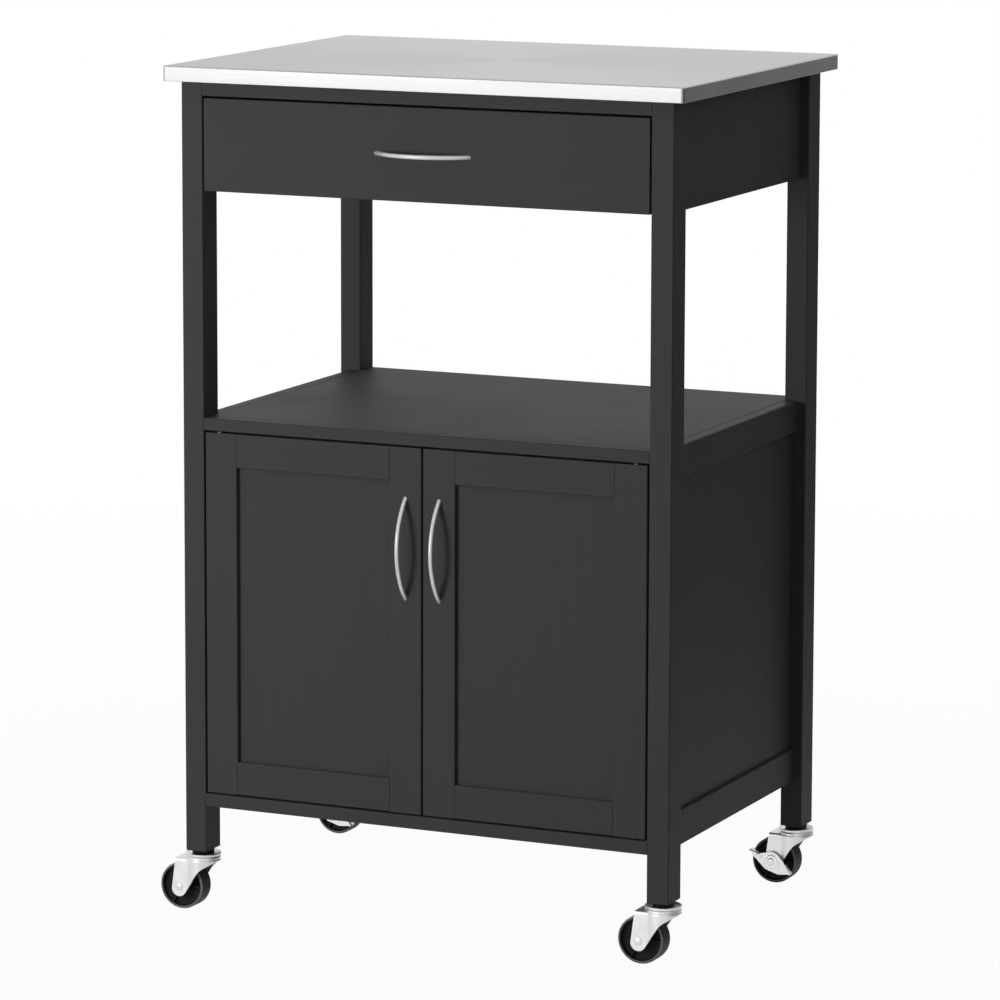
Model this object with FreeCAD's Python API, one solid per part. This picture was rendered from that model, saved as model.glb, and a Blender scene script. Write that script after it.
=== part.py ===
import FreeCAD, Part
import os
from math import acos, asin, atan2, cos, degrees, radians, sin

# Microwave cart on four swivel casters: steel-topped worktop, one drawer on roller runners,
# an open bay and a cupboard with two inset frame-and-panel doors. Millimetres, +Z up.
# The cart's own coordinates have X across the width, Y towards the back and Z = 0 on the
# floor, with the mid planes at X = 0 and Y = 0. The stored origin is below the middle of
# the bounding box, so every solid is moved there as it is written.

Vector = FreeCAD.Vector
os.makedirs("parts", exist_ok=True)

# ---------------------------------------------------------------- driving dimensions
overall_width = 580.0  # worktop, along X
overall_depth = 432.0  # worktop, along Y
overall_height = 896.0  # floor to the steel surface

# sides given to rounds that aren't true cylinders
small_round_flats = 8
bore_flats = 12
axle_flats = 12
flange_flats = 16
roller_flats = 24
cap_flats = 24
hexagon = 6

# worktop
worktop_thickness = 16.0
worktop_overhang_x = 15.0  # past the legs' outer faces
worktop_overhang_y = 13.0
steel_thickness = 1.0
steel_return = 11.0  # width of the lip folded under the board
worktop_corner = 3.0  # plan radius of the steel corners
worktop_edge = 1.0  # bevel of the steel's upper edge
board_clearance = 0.1  # between the board and its steel

# legs and carcass
leg_width = 24.0  # along X
leg_depth = 33.0  # along Y
leg_foot = 49.5  # legs below the cupboard
edge_softening = 0.8  # chamfer on the long edges of painted wood
side_recess = 9.5  # side rails and aprons stand back from the legs' outer faces
rear_setback = 1.0  # rear apron, shelf and bottom board stand back from the legs' rear faces
rail_thickness = 15.0  # front rails, doors and drawer front, along Y
top_rail_height = 15.0
cupboard_height = 413.5  # underside of its bottom to the top of the shelf
shelf_thickness = 13.0
upper_rail_height = 33.0
lower_rail_height = 35.5
bottom_thickness = 14.0
back_thickness = 4.0
panel_recess = 4.5  # side panels stand back from the side rails
panel_thickness = 5.0  # side panels and door panels
groove_depth = 5.0
groove_clearance = 0.1

# fronts
front_gap = 2.0  # reveal round the drawer front and the doors
drawer_front_height = 96.5  # the aprons reach as low
stile_width = 36.0
door_rail_height = 35.0
door_panel_recess = 5.0

# drawer
drawer_side_thickness = 12.0
drawer_box_height = 70.0
drawer_box_lift = 9.5  # box above the lower edge of the drawer front
drawer_rear_room = 35.0  # from the drawer box to the rear apron
drawer_bottom_thickness = 3.0
drawer_bottom_lift = 8.0

# roller runners
runner_space = 12.5  # between apron and drawer side
runner_sheet = 1.2
runner_set_in = 2.0  # from the back of the drawer front
runner_foot = 9.6  # width of the drawer member's foot under the drawer side
runner_slot_length = 12.0
runner_slot_height = 4.0
roller_diameter = 17.0
roller_width = 6.0
roller_offset = 3.0  # roller face from the apron
roller_end_room = 2.0  # from the roller to the end of its member
roller_pin = 4.0
roller_pin_head = 7.0
roller_head_thickness = 0.7
running_gap = 0.3
cover_gap = 0.9  # from the drawer member's flange to the cabinet member's top

# door pivots and catch
pivot_from_edge = 14.0
pivot_from_face = 6.0
pivot_diameter = 4.0
pivot_depth = 10.0
pivot_end_room = 1.0
pivot_collar_diameter = 8.0
pivot_collar_thickness = 0.7
bush_diameter = 7.0
bush_flange_diameter = 9.0
bush_flange_thickness = 1.0
bush_depth = 8.0
shaft_clearance = 0.08  # radial, pins in bushes, rollers and the kingpin
catch_width = 46.0
catch_height = 12.0
catch_depth = 19.0
catch_gap = 0.4
catch_bevel = 1.5
magnet_diameter = 8.0
magnet_length = 13.0
magnet_spacing = 24.0
strike_diameter = 11.0
strike_thickness = 1.0
strike_peg = 4.0
strike_peg_length = 7.5

# bowed pulls
handle_rod = 5.0
handle_spacing = 101.0  # between the feet, on the rod's centre line
handle_bow = 20.0  # rise of the centre line over the face
handle_flats = 8
handle_steps = 14
door_handle_drop = 105.0  # handle centre below the top of the door
screw_diameter = 3.2
screw_head_diameter = 7.5
screw_head_thickness = 2.0
screw_bite = 3.0

# casters
wheel_diameter = 50.0
room_over_wheel = 16.0  # from the wheel's top to the underside of the leg
wheel_width = 21.0
wheel_trail = 21.0  # swivel axis to axle
wheel_rim = 2.6
wheel_dish = 6.0
wheel_ribs = 3
wheel_rib_thickness = 1.6
pocket_steps = 4
hub_diameter = 15.0
hub_wall = 1.6  # from the hub to the pockets
hub_gap = 0.4
axle_diameter = 6.0
axle_head_diameter = 9.0
axle_head_thickness = 1.3
axle_clearance = 0.1
fork_sheet = 1.8
fork_half_width = 16.0  # outside of a cheek from the swivel axis
nose_bulge = 2.8  # radius of the round nose beyond the cheeks
roof_drop = 9.5  # fork roof below the leg
roof_tail = 25.0  # rear edge of the roof behind the swivel axis
cheek_tip_radius = 8.4
cheek_tip_drop = 1.8  # centre of the rounded tip below the axle
cheek_tip_steps = 8
nose_steps = 18
throat_lead = 3.0  # where the leading edge bends out under the nose
throat_drop = 12.5
race_inset = 0.4  # inside the cap's rim
race_thickness = 2.4
cap_diameter = 38.0
cap_thickness = 2.8
kingpin_diameter = 8.0
kingpin_head_diameter = 14.0
kingpin_head_thickness = 2.0
stem_diameter = 8.0
stem_length = 30.0
stem_hexagon = 14.0
socket_diameter = 11.0
socket_flange_diameter = 21.0
socket_flange_thickness = 2.5
socket_end_room = 2.5

# brake lever, as X and Z places round the axle
lever_sheet = 1.5
lever_standoff = 1.8  # from the cheek, to clear the bulge of the nose
lever_hump_radius = 11.0
lever_hump_start = 118.0  # degrees from +X
lever_hump_end = 30.0
lever_pedal_gap = 2.64  # outer corner of the pedal beyond the tread
lever_pedal_angle = 154.7  # degrees from +X
lever_pedal_root = (-12.8, 8.3)
lever_wing_root = (13.3, 2.6)
lever_wing_tip = (23.1, -11.4)
lever_heel = (7.6, -13.0)
lever_belly = (-6.5, -8.4)
lever_chin = (-21.0, 5.4)
lever_flange_depth = 5.2
lever_shoe_depth = 9.5
lever_shoe_length = 2.2
lever_wing_flange_start = 5.0  # along the wing's edge

# ---------------------------------------------------------------- derived places
leg_x = overall_width / 2 - worktop_overhang_x
leg_y = overall_depth / 2 - worktop_overhang_y
inner_x = leg_x - leg_width  # inner faces of legs, aprons and side rails
inner_y = leg_y - leg_depth
front_y = -leg_y
front_back_y = front_y + rail_thickness
rear_y = leg_y - rear_setback
side_outer_x = leg_x - side_recess
worktop_under = overall_height - worktop_thickness
carcass_top = worktop_under + steel_thickness + board_clearance  # where it carries the board
caster_height = wheel_diameter + room_over_wheel
bottom_rail_under = caster_height + leg_foot
bottom_top = bottom_rail_under + bottom_thickness
shelf_top = bottom_rail_under + cupboard_height
shelf_under = shelf_top - shelf_thickness
drawer_top = worktop_under - top_rail_height - front_gap
apron_bottom = drawer_top - drawer_front_height
door_top = shelf_under - front_gap
door_bottom = bottom_top + front_gap
axle_z = wheel_diameter / 2
roof_top = caster_height - roof_drop
roof_under = roof_top - fork_sheet
nose_radius = fork_half_width + nose_bulge
caster_x = leg_x - leg_width / 2
caster_y = leg_y - leg_depth / 2
lever_pedal_x = (wheel_diameter / 2 + lever_pedal_gap) * cos(radians(lever_pedal_angle))
lever_pedal_z = (wheel_diameter / 2 + lever_pedal_gap) * sin(radians(lever_pedal_angle))

# middle of the bounding box in the cart's own coordinates
wheel_reach = caster_x + wheel_trail + wheel_diameter / 2
pedal_reach = caster_x + wheel_trail - lever_pedal_x
handle_reach = leg_y + handle_bow + handle_rod / 2
centre_x = (overall_width / 2 - max(wheel_reach, pedal_reach, overall_width / 2)) / 2
centre_y = (overall_depth / 2 - max(handle_reach, overall_depth / 2)) / 2


# ---------------------------------------------------------------- building blocks
def box(x0, x1, y0, y1, z0, z1):
    """A box between two X, two Y and two Z planes, given in any order."""
    low = Vector(min(x0, x1), min(y0, y1), min(z0, z1))
    return Part.makeBox(abs(x1 - x0), abs(y1 - y0), abs(z1 - z0), low)


def cylinder(radius, start, end):
    axis = end - start
    return Part.makeCylinder(radius, axis.Length, start, axis)


def prism(points, direction):
    """A face through straight edges, swept along a vector."""
    closed = points + [points[0]]
    return Part.Face(Part.makePolygon(closed)).extrude(direction)


def flatted(radius, start, end, flats=small_round_flats):
    """A small round piece given a few flats, with its corners on the radius."""
    axis = end - start
    upright = abs(axis.z) > 0.5 * axis.Length
    across = axis.cross(Vector(1, 0, 0) if upright else Vector(0, 0, 1)).normalize()
    corners = []
    for corner in range(flats):
        turn = FreeCAD.Rotation(axis, 360.0 * (corner + 0.5) / flats)
        corners.append(start + turn.multVec(across) * radius)
    return prism(corners, axis)


def flatted_bore(radius, start, end, flats=bore_flats):
    """A hole round a shaft, given a few flats that lie on the radius."""
    return flatted(radius / cos(radians(180.0 / flats)), start, end, flats)


def arc_points(centre, first, second, angles, steps):
    """Points on an arc from one angle to another, spread over two perpendicular radius vectors."""
    low, high = angles
    turns = [radians(low + (high - low) * step / steps) for step in range(steps + 1)]
    return [centre + first * cos(turn) + second * sin(turn) for turn in turns]


def lies_along(edge, direction):
    ends = edge.Vertexes
    if len(ends) != 2:
        return False
    run = ends[1].Point - ends[0].Point
    return run.Length > 1e-6 and abs(run.dot(direction)) / run.Length > 0.9999


def edges_along(shape, direction):
    return [edge for edge in shape.Edges if lies_along(edge, direction)]


def board(x0, x1, y0, y1, z0, z1):
    """A painted board with its four longest edges softened."""
    sizes = (abs(x1 - x0), abs(y1 - y0), abs(z1 - z0))
    axes = (Vector(1, 0, 0), Vector(0, 1, 0), Vector(0, 0, 1))
    plain = box(x0, x1, y0, y1, z0, z1)
    return plain.makeChamfer(edge_softening, edges_along(plain, axes[sizes.index(max(sizes))]))


def group(solids):
    """Separate solids that share a node."""
    return Part.makeCompound(solids)


def export(name, shape):
    """Moves a shape from the cart's coordinates to the stored origin and writes it."""
    moved = shape.copy()
    moved.translate(Vector(-centre_x, -centre_y, 0))
    moved.exportStep("parts/" + name + ".step")


# ---------------------------------------------------------------- worktop
def core(inset, z0, z1):
    """The worktop's plan an inset inside its outer faces, with its corners taken off."""
    x, y = overall_width / 2 - inset, overall_depth / 2 - inset
    plain = box(-x, x, -y, y, z0, z1)
    return plain.makeChamfer(worktop_corner - inset, edges_along(plain, Vector(0, 0, 1)))


def worktop_board():
    inset = steel_thickness + board_clearance
    return core(inset, worktop_under + inset, overall_height - inset)


def worktop_steel():
    """A pan folded over the board, down its edges and back under it."""
    x, y = overall_width / 2, overall_depth / 2
    pan = box(-x, x, -y, y, worktop_under, overall_height)
    pan = pan.makeFillet(worktop_corner, edges_along(pan, Vector(0, 0, 1)))
    rim = [edge for edge in pan.Edges if edge.BoundBox.ZMin > overall_height - 1e-6]
    pan = pan.makeChamfer(worktop_edge, rim)
    hollow = core(steel_thickness, worktop_under + steel_thickness, overall_height - steel_thickness)
    x, y = x - steel_thickness - steel_return, y - steel_thickness - steel_return
    window = box(-x, x, -y, y, worktop_under, worktop_under + 2 * steel_thickness)
    return pan.cut(hollow).cut(window)


# ---------------------------------------------------------------- carcass
def side_panel(side, clearance=0.0):
    """Panel of one side of the cupboard, which runs into grooves on all four edges."""
    outer = side_outer_x - panel_recess - clearance
    inner = side_outer_x - panel_recess - panel_thickness + clearance
    y = inner_y + groove_depth - clearance
    z0 = bottom_rail_under + lower_rail_height - groove_depth + clearance
    z1 = shelf_top - upper_rail_height + groove_depth - clearance
    return box(side * outer, side * inner, -y, y, z0, z1)


def side_groove(side):
    return side_panel(side, -groove_clearance)


def leg(side, end):
    """A leg, with the groove for the side panel and the bore for the caster's socket."""
    post = board(side * leg_x, side * inner_x, end * leg_y, end * inner_y, caster_height, carcass_top)
    foot = Vector(side * caster_x, end * caster_y, caster_height)
    depth = Vector(0, 0, stem_length + 2 * socket_end_room)
    bore = flatted(socket_diameter / 2 + groove_clearance, foot, foot + depth)
    return post.cut(bore).cut(side_groove(side))


def front_rail(z0, z1):
    return board(-inner_x, inner_x, front_y, front_back_y, z0, z1)


def drilled_rail(z0, z1, up):
    """A front rail with the holes for two bushes in the face that looks at the doors."""
    face = z0 if up > 0 else z1
    holes = [bush_hole(pivot_axis(side, face), up) for side in (-1, 1)]
    return front_rail(z0, z1).cut(group(holes))


def side_member(side, z0, z1):
    """An apron or side rail between a front and a rear leg."""
    return board(side * side_outer_x, side * inner_x, -inner_y, inner_y, z0, z1)


def full_board(z0, z1):
    """The shelf or the bottom, from the front rail to the back of the cart."""
    return box(-inner_x, inner_x, front_back_y, rear_y, z0, z1)


# ---------------------------------------------------------------- drawer
drawer_z = apron_bottom + drawer_box_lift
drawer_outer_x = inner_x - runner_space
drawer_inner_x = drawer_outer_x - drawer_side_thickness
drawer_rear_y = rear_y - rail_thickness - drawer_rear_room


def drawer_bottom(clearance=0.0):
    """Bottom panel, in grooves of the sides and the front, under the back."""
    x = drawer_inner_x + groove_depth - clearance
    y0 = front_back_y - groove_depth + clearance
    z0 = drawer_z + drawer_bottom_lift + clearance
    z1 = drawer_z + drawer_bottom_lift + drawer_bottom_thickness - clearance
    return box(-x, x, y0, drawer_rear_y - clearance, z0, z1)


def drawer_front():
    x = inner_x - front_gap
    front = board(-x, x, front_y, front_back_y, apron_bottom, drawer_top)
    return front.cut(screw_holes(drawer_handle_frame())).cut(drawer_bottom(-groove_clearance))


def drawer_side(side):
    """A side of the drawer box, with the groove that the bottom slides into."""
    panel = box(side * drawer_outer_x, side * drawer_inner_x, front_back_y, drawer_rear_y,
                drawer_z, drawer_z + drawer_box_height)
    return panel.cut(drawer_bottom(-groove_clearance))


def drawer_back():
    z0 = drawer_z + drawer_bottom_lift + drawer_bottom_thickness
    y0 = drawer_rear_y - drawer_side_thickness
    return box(-drawer_inner_x, drawer_inner_x, y0, drawer_rear_y, z0, drawer_z + drawer_box_height)


# ---------------------------------------------------------------- roller runners
runner_z = drawer_z - runner_sheet  # underside of both runner members
runner_front_y = front_back_y + runner_set_in
track_z = runner_z + runner_sheet + running_gap  # lowest point of the rollers
roller_z = track_z + roller_diameter / 2
flange_z = track_z + roller_diameter + running_gap  # underside of the drawer member's flange
cover_z = flange_z + runner_sheet + cover_gap  # underside of the cabinet member's top
roller_inset = roller_diameter / 2 + roller_end_room
front_roller_y = runner_front_y + roller_inset
rear_roller_y = drawer_rear_y - roller_inset


def runner_box(side, t0, t1, y0, y1, z0, z1):
    """A box given by its distance t from the apron towards the drawer."""
    return box(side * (inner_x - t0), side * (inner_x - t1), y0, y1, z0, z1)


def roller_axle(side, t_root, t_head, y):
    """A riveted pin with a flat head beyond the roller."""
    root = Vector(side * (inner_x - t_root), y, roller_z)
    head = Vector(side * (inner_x - t_head), y, roller_z)
    back = (root - head).normalize() * roller_head_thickness
    return cylinder(roller_pin / 2, root, head).fuse(flatted(roller_pin_head / 2, head, head + back))


def cabinet_runner(side):
    """C-shaped member screwed to the apron, with a roller pin at its front end."""
    lip = runner_space - 2 * runner_sheet
    y0, y1 = runner_front_y, drawer_rear_y
    web = runner_box(side, 0, runner_sheet, y0, y1, runner_z, cover_z + runner_sheet)
    track = runner_box(side, 0, lip, y0, y1, runner_z, runner_z + runner_sheet)
    cover = runner_box(side, 0, lip, y0, y1, cover_z, cover_z + runner_sheet)
    stop = runner_box(side, 0, lip, y1 - runner_sheet, y1, runner_z, flange_z - running_gap)
    slots = []
    for y in (-inner_y / 2, 0, inner_y / 2):
        slots.append(runner_box(side, 0, runner_sheet,
                                y - runner_slot_length / 2, y + runner_slot_length / 2,
                                roller_z - runner_slot_height / 2, roller_z + runner_slot_height / 2))
    head = roller_offset + roller_width + running_gap + roller_head_thickness
    axle = roller_axle(side, runner_sheet / 2, head, front_roller_y)
    return web.fuse([track, cover, stop, axle]).removeSplitter().cut(group(slots))


def drawer_runner(side):
    """Member that wraps the lower edge of the drawer side and rides on the front roller."""
    t = runner_space
    y0, y1 = runner_front_y, drawer_rear_y - runner_sheet - running_gap
    web = runner_box(side, t - runner_sheet, t, y0, y1, runner_z, flange_z + runner_sheet)
    flange = runner_box(side, 2 * runner_sheet, t, y0, y1, flange_z, flange_z + runner_sheet)
    foot = runner_box(side, t - runner_sheet, t + runner_foot, y0, y1, runner_z, runner_z + runner_sheet)
    head = roller_offset - running_gap - roller_head_thickness
    axle = roller_axle(side, t - runner_sheet / 2, head, rear_roller_y)
    return web.fuse([flange, foot, axle]).removeSplitter()


def roller(side, y):
    start = Vector(side * (inner_x - roller_offset), y, roller_z)
    end = Vector(side * (inner_x - roller_offset - roller_width), y, roller_z)
    tyre = flatted(roller_diameter / 2, start, end, roller_flats)
    return tyre.cut(flatted_bore(roller_pin / 2 + shaft_clearance, start, end))


# ---------------------------------------------------------------- doors
def door_edges(side):
    """X of the hinge edge and of the meeting edge of a door."""
    return side * (inner_x - front_gap), side * front_gap / 2


def door_inlay(side, margin_x, z0, z1, clearance):
    """A box at the depth of the panel, a margin inside the door's edges."""
    hinge_x, meeting_x = door_edges(side)
    y0 = front_y + door_panel_recess + clearance
    y1 = front_y + door_panel_recess + panel_thickness - clearance
    x0, x1 = hinge_x - side * margin_x, meeting_x + side * margin_x
    return box(x0, x1, y0, y1, z0 + clearance, z1 - clearance)


def door_panel(side, clearance=0.0):
    """The flat panel, which floats in a groove all round the frame."""
    margin_x = stile_width - groove_depth + clearance
    margin_z = door_rail_height - groove_depth
    return door_inlay(side, margin_x, door_bottom + margin_z, door_top - margin_z, clearance)


def door_tongue(side, top, clearance=0.0):
    """The tongue of a rail, beside the panel's groove, which runs into both stiles."""
    margin = door_rail_height - groove_depth - groove_clearance
    z0, z1 = (door_top - margin, door_top) if top else (door_bottom, door_bottom + margin)
    return door_inlay(side, stile_width - groove_depth + clearance, z0, z1, clearance)


def door_rail(side, top):
    hinge_x, meeting_x = door_edges(side)
    z0 = door_top - door_rail_height if top else door_bottom
    rail = board(hinge_x - side * stile_width, meeting_x + side * stile_width,
                 front_y, front_back_y, z0, z0 + door_rail_height)
    grooved = rail.cut(door_panel(side, -groove_clearance))
    return grooved.fuse(door_tongue(side, top, groove_clearance)).removeSplitter()


def door_stile(side, hinged):
    """A full-height stile, grooved for the panel and the rails and drilled for its hardware."""
    hinge_x, meeting_x = door_edges(side)
    outer_x = hinge_x if hinged else meeting_x
    inner = outer_x - side * stile_width if hinged else outer_x + side * stile_width
    stile = board(outer_x, inner, front_y, front_back_y, door_bottom, door_top)
    cuts = [door_panel(side, -groove_clearance), door_tongue(side, True), door_tongue(side, False)]
    if hinged:
        cuts += [pin_hole(side, z, up) for z, up in pivot_ends()]
    else:
        cuts += screw_holes(door_handle_frame(side)) + [strike_hole(side)]
    return stile.cut(cuts)


# ---------------------------------------------------------------- door pivots and catch
def pivot_ends():
    """Edge of the door that each pivot leaves, and its direction."""
    return [(door_bottom, -1), (door_top, 1)]


def pivot_axis(side, z):
    x = side * (inner_x - front_gap - pivot_from_edge)
    return Vector(x, front_y + pivot_from_face, z)


def pin_hole(side, z, up):
    start = pivot_axis(side, z)
    depth = Vector(0, 0, up * (pivot_depth + groove_clearance))
    return flatted(pivot_diameter / 2 + groove_clearance, start, start - depth)


def pivot_pin(side, z, up):
    """Pin in the door's edge, with a collar that faces the bush and a round end that turns in it."""
    edge, way = pivot_axis(side, z), Vector(0, 0, up)
    root = flatted(pivot_diameter / 2, edge - way * pivot_depth, edge)
    collar = flatted(pivot_collar_diameter / 2, edge, edge + way * pivot_collar_thickness)
    end = cylinder(pivot_diameter / 2, edge, edge + way * (front_gap + bush_depth - pivot_end_room))
    return end.fuse([root, collar]).removeSplitter()


def bush_hole(seat, up):
    """Hole for a bush, into the rail from the middle of its flange."""
    depth = Vector(0, 0, up * (bush_depth + groove_clearance))
    return flatted(bush_diameter / 2 + groove_clearance, seat, seat + depth)


def bush(seat, up):
    """Flanged bush, with its flange on the rail's face."""
    way = Vector(0, 0, up)
    body = flatted(bush_diameter / 2, seat, seat + way * bush_depth)
    flange = flatted(bush_flange_diameter / 2, seat - way * bush_flange_thickness, seat)
    bore = flatted_bore(pivot_diameter / 2 + shaft_clearance, seat - way * bush_flange_thickness,
                        seat + way * bush_depth)
    return body.fuse(flange).cut(bore)


catch_front_y = front_back_y + strike_thickness + catch_gap
catch_z = shelf_under - catch_height / 2


def magnet(side, clearance=0.0):
    start = Vector(side * magnet_spacing / 2, catch_front_y, catch_z)
    end = start + Vector(0, magnet_length + clearance, 0)
    return flatted(magnet_diameter / 2 + clearance, start, end)


def catch_body():
    """Housing under the shelf with a magnet for each door."""
    x = catch_width / 2
    y0, y1 = catch_front_y, catch_front_y + catch_depth
    housing = box(-x, x, y0, y1, shelf_under - catch_height, shelf_under)
    lengthwise = edges_along(housing, Vector(0, 1, 0))
    lower = [edge for edge in lengthwise if edge.BoundBox.ZMax < catch_z]
    housing = housing.makeChamfer(catch_bevel, lower)
    return housing.cut([magnet(side, groove_clearance) for side in (-1, 1)])


def strike_centre(side):
    return Vector(side * magnet_spacing / 2, front_back_y, catch_z)


def strike_hole(side):
    face = strike_centre(side)
    depth = Vector(0, strike_peg_length + groove_clearance, 0)
    return flatted(strike_peg / 2 + groove_clearance, face, face - depth)


def strike(side):
    """Round plate on the back of the door, with a peg into the stile."""
    face = strike_centre(side)
    plate = flatted(strike_diameter / 2, face, face + Vector(0, strike_thickness, 0))
    return plate.fuse(flatted(strike_peg / 2, face, face - Vector(0, strike_peg_length, 0)))


# ---------------------------------------------------------------- handles
def drawer_handle_frame():
    """Centre between the feet, and the direction from foot to foot."""
    return Vector(0, front_y, (apron_bottom + drawer_top) / 2), Vector(1, 0, 0)


def door_handle_frame(side):
    x = side * (front_gap / 2 + stile_width / 2)
    return Vector(x, front_y, door_top - door_handle_drop), Vector(0, 0, 1)


def feet(frame):
    centre, along = frame
    return [centre + along * (end * handle_spacing / 2) for end in (-1, 1)]


def screw_holes(frame):
    radius = screw_diameter / 2 + groove_clearance
    return [flatted(radius, foot, foot + Vector(0, rail_thickness, 0)) for foot in feet(frame)]


def bowed_rod(frame):
    """A rod bent to one arc, lofted through sections of few sides and cut flat on the face."""
    centre, along = frame
    half = handle_spacing / 2
    radius = (half ** 2 + handle_bow ** 2) / (2 * handle_bow)
    sweep = asin(half / radius) + 2 * handle_rod / radius
    middle = centre + Vector(0, radius - handle_bow, 0)
    out = Vector(0, -1, 0)
    across = out.cross(along)
    sections = []
    for step in range(handle_steps + 1):
        angle = sweep * (2.0 * step / handle_steps - 1)
        ray = out * cos(angle) + along * sin(angle)
        ring = []
        for corner in range(handle_flats):
            turn = radians(360.0 * corner / handle_flats)
            outward = ray * (radius + handle_rod / 2 * cos(turn))
            ring.append(middle + outward + across * (handle_rod / 2 * sin(turn)))
        sections.append(Part.makePolygon(ring + [ring[0]]))
    reach = Vector(handle_spacing, 0, handle_spacing)
    low, high = centre - reach, centre + reach
    behind = box(low.x, high.x, front_y, front_y + handle_spacing, low.z, high.z)
    return Part.makeLoft(sections, True, True).cut(behind)


def handle(frame):
    """The bowed rod and the two screws that hold it from behind."""
    rod = bowed_rod(frame)
    screws = []
    for foot in feet(frame):
        tip = foot - Vector(0, screw_bite, 0)
        back = foot + Vector(0, rail_thickness, 0)
        head = flatted(screw_head_diameter / 2, back, back + Vector(0, screw_head_thickness, 0))
        screws.append(flatted(screw_diameter / 2, tip, back).fuse(head))
        rod = rod.cut(flatted(screw_diameter / 2 + groove_clearance, tip, foot))
    return [rod] + screws


# ---------------------------------------------------------------- casters
# A caster is built round its swivel axis at X = 0 and Y = 0, with its wheel trailing to -X.
cap_under = roof_top + race_thickness + running_gap
cap_top = cap_under + cap_thickness


def up_axis(radius, z0, z1, flats=0):
    """A round on the swivel axis between two heights, with flats where it doesn't turn in a fit."""
    start, end = Vector(0, 0, z0), Vector(0, 0, z1)
    return flatted(radius, start, end, flats) if flats else cylinder(radius, start, end)


def stem_socket():
    """Plastic sleeve in the leg, with a flange under it."""
    sleeve_top = caster_height + stem_length + socket_end_room
    flange_under = caster_height - socket_flange_thickness
    sleeve = up_axis(socket_diameter / 2, caster_height, sleeve_top, small_round_flats)
    flange = up_axis(socket_flange_diameter / 2, flange_under, caster_height, flange_flats)
    bore = up_axis(stem_diameter / 2 + groove_clearance, 0, overall_height, small_round_flats)
    return sleeve.fuse(flange).cut(bore)


def caster_stem():
    """Stem, hexagon, raceway cap and kingpin in one riveted piece, fixed to the leg."""
    flange_under = caster_height - socket_flange_thickness
    head_top = roof_under - running_gap
    cap = up_axis(cap_diameter / 2, cap_under, cap_top, cap_flats)
    kingpin = up_axis(kingpin_diameter / 2, head_top, cap_under)
    head = up_axis(kingpin_head_diameter / 2, head_top - kingpin_head_thickness, head_top, hexagon)
    nut = up_axis(stem_hexagon / 2, cap_top, flange_under, hexagon)
    stem = up_axis(stem_diameter / 2, flange_under, caster_height + stem_length, small_round_flats)
    return cap.fuse([kingpin, head, nut, stem])


def fork_fold(offset, top, nose_steps):
    """The fork's plan, an offset inside the sheet: flat cheeks and a round nose, raised to a height."""
    half, radius = fork_half_width - offset, nose_radius - offset
    crease = 180.0 - degrees(asin(half / radius))
    ahead, across = Vector(radius, 0, 0), Vector(0, radius, 0)
    nose = arc_points(Vector(), ahead, across, (-crease, crease), nose_steps)
    tail = -(wheel_trail + wheel_diameter)
    return prism(nose + [Vector(tail, half, 0), Vector(tail, -half, 0)], Vector(0, 0, top))


def tangent_angle(start, centre, radius, side):
    """Where round a circle in the XZ plane a line from a point touches it, on one side, in degrees."""
    run = start - centre
    return degrees(atan2(run.z, run.x) + side * acos(radius / run.Length))


def fork_side(reach):
    """Side view of the fork: upright rear edge, round tip, leading edge out under the nose."""
    tip = Vector(-wheel_trail, -reach, axle_z - cheek_tip_drop)
    rear_top = Vector(-roof_tail, -reach, roof_top)
    throat = Vector(throat_lead, -reach, roof_top - throat_drop)
    beyond = nose_radius + fork_sheet
    nose_low, nose_top = Vector(beyond, -reach, roof_under), Vector(beyond, -reach, roof_top)
    rear = tangent_angle(rear_top, tip, cheek_tip_radius, 1)
    lead = tangent_angle(throat, tip, cheek_tip_radius, -1) + 360.0
    ahead, up = Vector(cheek_tip_radius, 0, 0), Vector(0, 0, cheek_tip_radius)
    rounded = arc_points(tip, ahead, up, (rear, lead), cheek_tip_steps)
    return prism(rounded + [throat, nose_low, nose_top, rear_top], Vector(0, 2 * reach, 0))


def fork(front_stack):
    """Pressed fork: one sheet folded into a roof, two cheeks and a round nose, with its race and axle."""
    outside = fork_fold(0.0, roof_top, nose_steps)
    inside = fork_fold(fork_sheet, roof_under, nose_steps // 2)
    shell = outside.cut(inside).common(fork_side(nose_radius))
    race_radius = cap_diameter / 2 - race_inset
    race = up_axis(race_radius, roof_top, roof_top + race_thickness, nose_steps)
    bore_radius = kingpin_diameter / 2 + shaft_clearance
    bore = flatted_bore(bore_radius, Vector(0, 0, roof_under), Vector(0, 0, cap_top))
    return shell.fuse([race, axle(front_stack)]).removeSplitter().cut(bore)


def axle_place(y):
    return Vector(-wheel_trail, y, axle_z)


def axle(front_stack):
    """Rivet through both cheeks, with room for what is stacked on the front cheek under its head."""
    front, rear = -(fork_half_width + front_stack), fork_half_width
    heads = []
    for seat, end in ((front, front - axle_head_thickness), (rear, rear + axle_head_thickness)):
        heads.append(flatted(axle_head_diameter / 2, axle_place(seat), axle_place(end), axle_flats))
    shank = flatted(axle_diameter / 2, axle_place(front), axle_place(rear), axle_flats)
    return shank.fuse(heads)


def wheel_pocket(face):
    """The hollow between two ribs in one face of the wheel, at the front of the axle."""
    near, far = hub_diameter / 2 + hub_wall, wheel_diameter / 2 - wheel_rim
    middle = axle_place(face * wheel_width / 2)
    outline = []
    for radius, way in ((near, 1), (far, -1)):
        turn = way * (180.0 / wheel_ribs - degrees(asin(wheel_rib_thickness / 2 / radius)))
        ahead, up = Vector(radius, 0, 0), Vector(0, 0, radius)
        outline += arc_points(middle, ahead, up, (-turn, turn), pocket_steps)
    return prism(outline, Vector(0, -face * wheel_dish, 0))


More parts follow.
